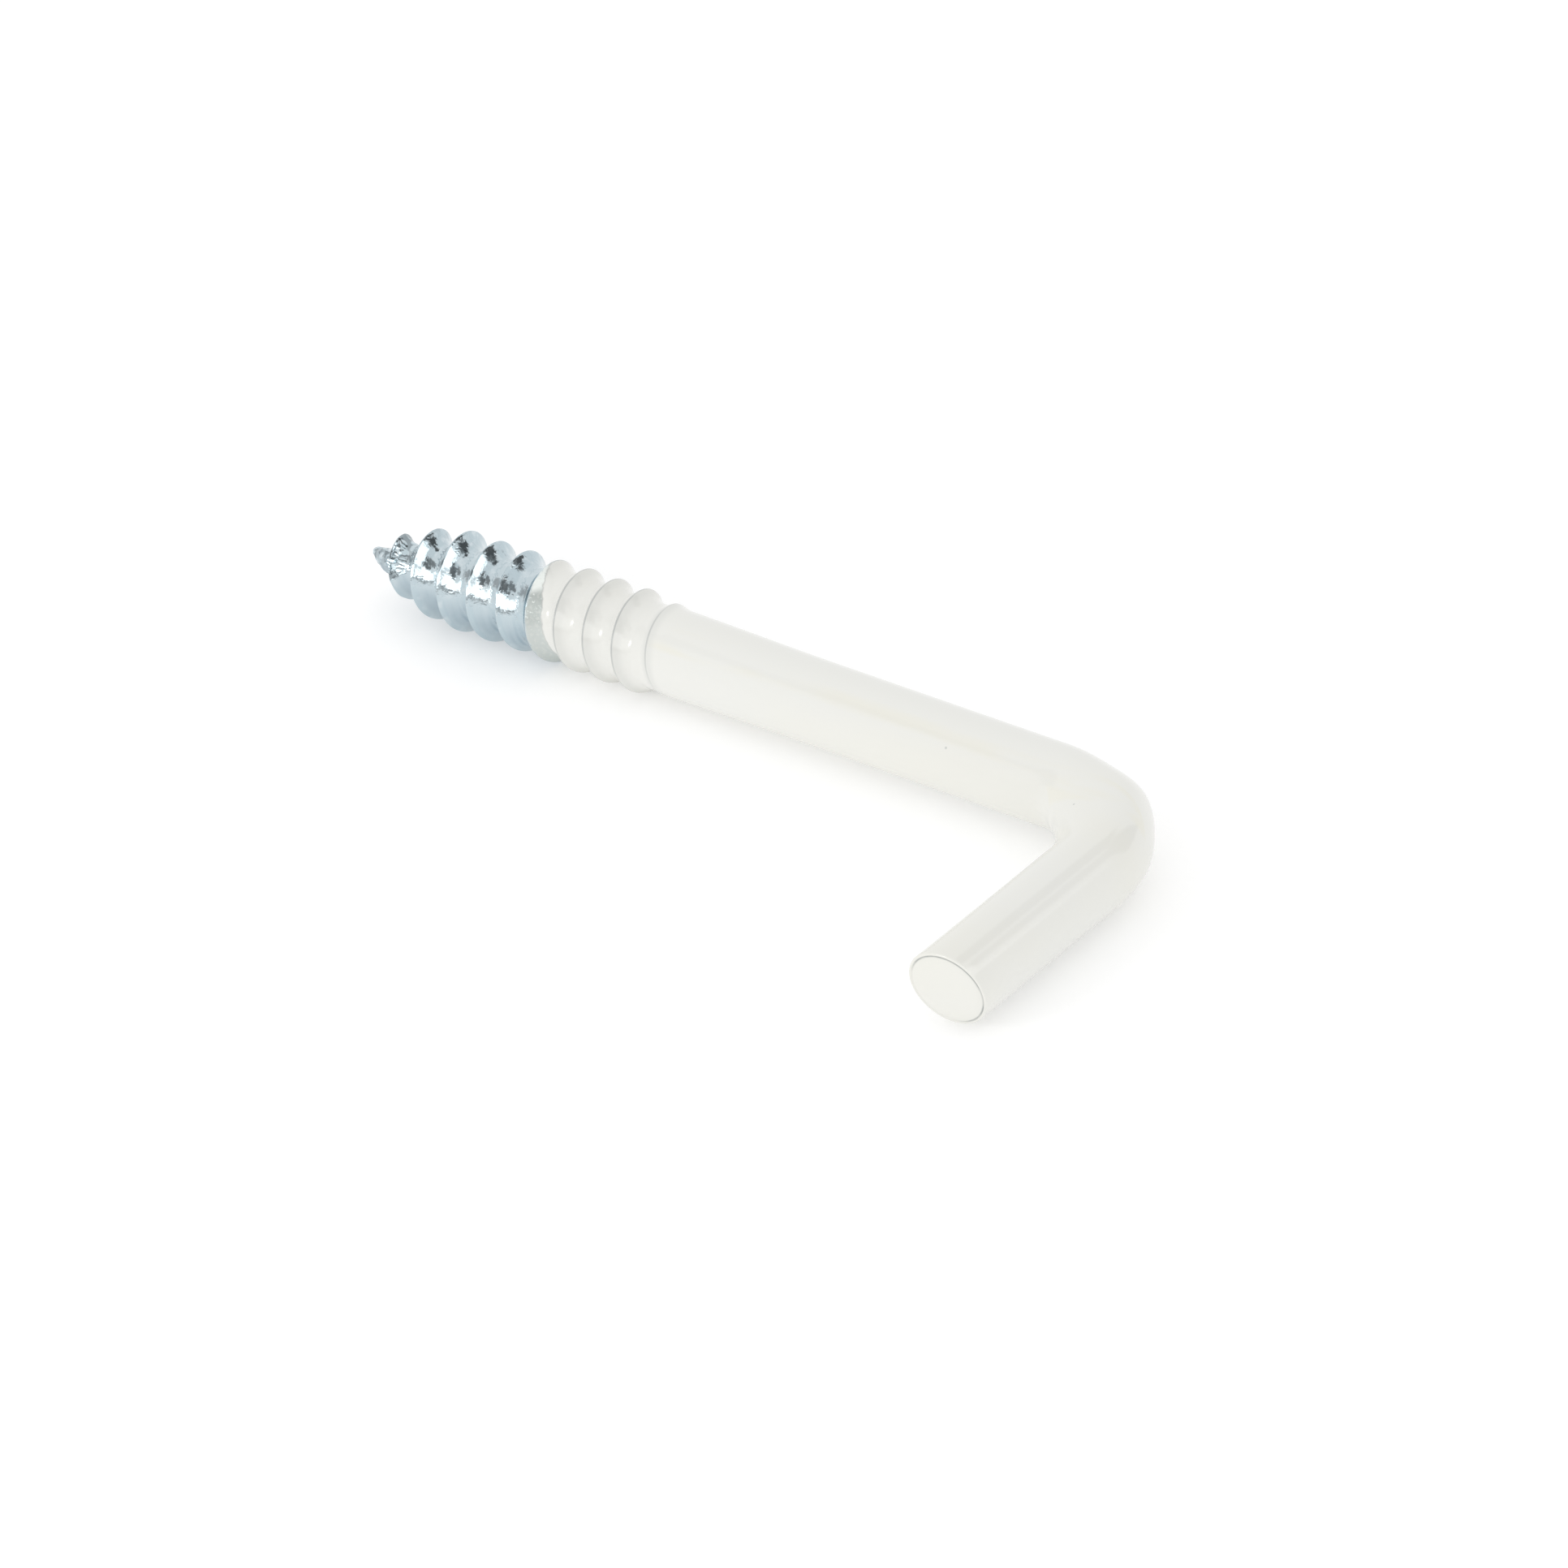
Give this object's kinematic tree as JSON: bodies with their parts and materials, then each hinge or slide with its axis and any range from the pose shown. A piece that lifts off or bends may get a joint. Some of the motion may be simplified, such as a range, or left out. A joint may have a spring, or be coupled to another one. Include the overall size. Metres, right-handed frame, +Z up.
{
  "type": "screw hook",
  "caption": "Square-bend screw hook: coated steel wire with a right-hand wood-screw thread and gimlet point at one end and a straight leg at the other, to hang things on.",
  "frame": {"origin": "on the shank's axis in the wall plane, where the thread runs out", "axes": "+X along the screw to its tip, the way it is driven in; +Y along the hook's leg to its free end; +Z up from the surface that the hook lies on"},
  "size_m": [0.0494, 0.018, 0.0048],
  "materials": {
    "white_coat": "gloss"
  },
  "bodies": {
    "root": {"screw_hook": "white_coat"}
  },
  "joints": []
}
